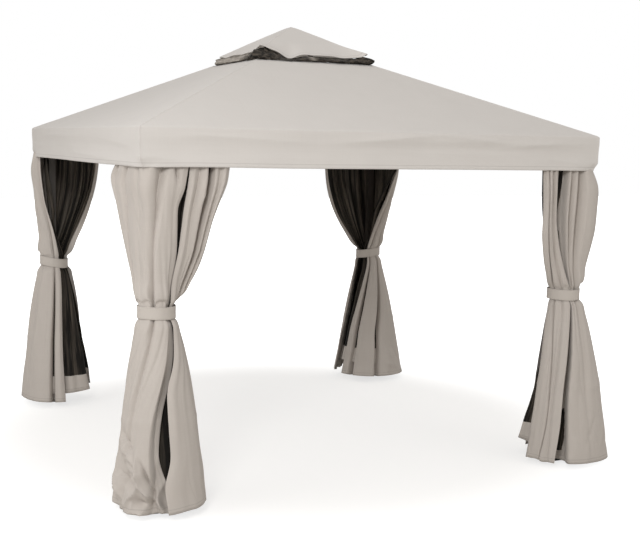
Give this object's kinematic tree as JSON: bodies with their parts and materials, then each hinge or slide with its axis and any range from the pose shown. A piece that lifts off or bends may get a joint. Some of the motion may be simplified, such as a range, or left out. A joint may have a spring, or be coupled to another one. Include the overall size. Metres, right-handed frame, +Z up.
{
  "type": "gazebo",
  "caption": "Open square gazebo with a two-tier fabric roof, vent ruffle and deep valance on a steel tube frame, with curtains and netting tied back at each corner.",
  "frame": {"origin": "on the ground, under the middle of the roof", "axes": "+Z up, -Y out of the front side, +X to the right of a person facing the front"},
  "size_m": [3.3272, 3.344, 2.844],
  "materials": {
    "frame_steel": "matt powder coat, near black brown",
    "canopy_cloth": "plain woven polyester, light greige, matt",
    "curtain_cloth": "plain woven polyester, warm greige, matt",
    "netting": "fine black mesh netting, see-through when single"
  },
  "bodies": {
    "root": {"foot_front_left": "frame_steel", "foot_front_right": "frame_steel", "foot_back_left": "frame_steel", "foot_back_right": "frame_steel", "post_front_left": "frame_steel", "post_front_right": "frame_steel", "post_back_left": "frame_steel", "post_back_right": "frame_steel", "corner_fitting_front_left": "frame_steel", "corner_fitting_front_right": "frame_steel", "corner_fitting_back_left": "frame_steel", "corner_fitting_back_right": "frame_steel", "beam_front": "frame_steel", "beam_right": "frame_steel", "beam_back": "frame_steel", "beam_left": "frame_steel", "rafter_front_left": "frame_steel", "rafter_front_right": "frame_steel", "rafter_back_left": "frame_steel", "rafter_back_right": "frame_steel", "vent_ring": "frame_steel", "crown": "frame_steel", "curtain_rail_front": "frame_steel", "curtain_rail_right": "frame_steel", "curtain_rail_back": "frame_steel", "curtain_rail_left": "frame_steel", "canopy_front": "canopy_cloth", "canopy_right": "canopy_cloth", "canopy_back": "canopy_cloth", "canopy_left": "canopy_cloth", "vent_netting": "netting", "vent_cap": "canopy_cloth", "curtain_front_left": "curtain_cloth", "curtain_front_right": "curtain_cloth", "curtain_back_left": "curtain_cloth", "curtain_back_right": "curtain_cloth", "netting_front_left": "netting", "netting_front_right": "netting", "netting_back_left": "netting", "netting_back_right": "netting", "tie_front_left": "curtain_cloth", "tie_front_right": "curtain_cloth", "tie_back_left": "curtain_cloth", "tie_back_right": "curtain_cloth"}
  },
  "joints": []
}
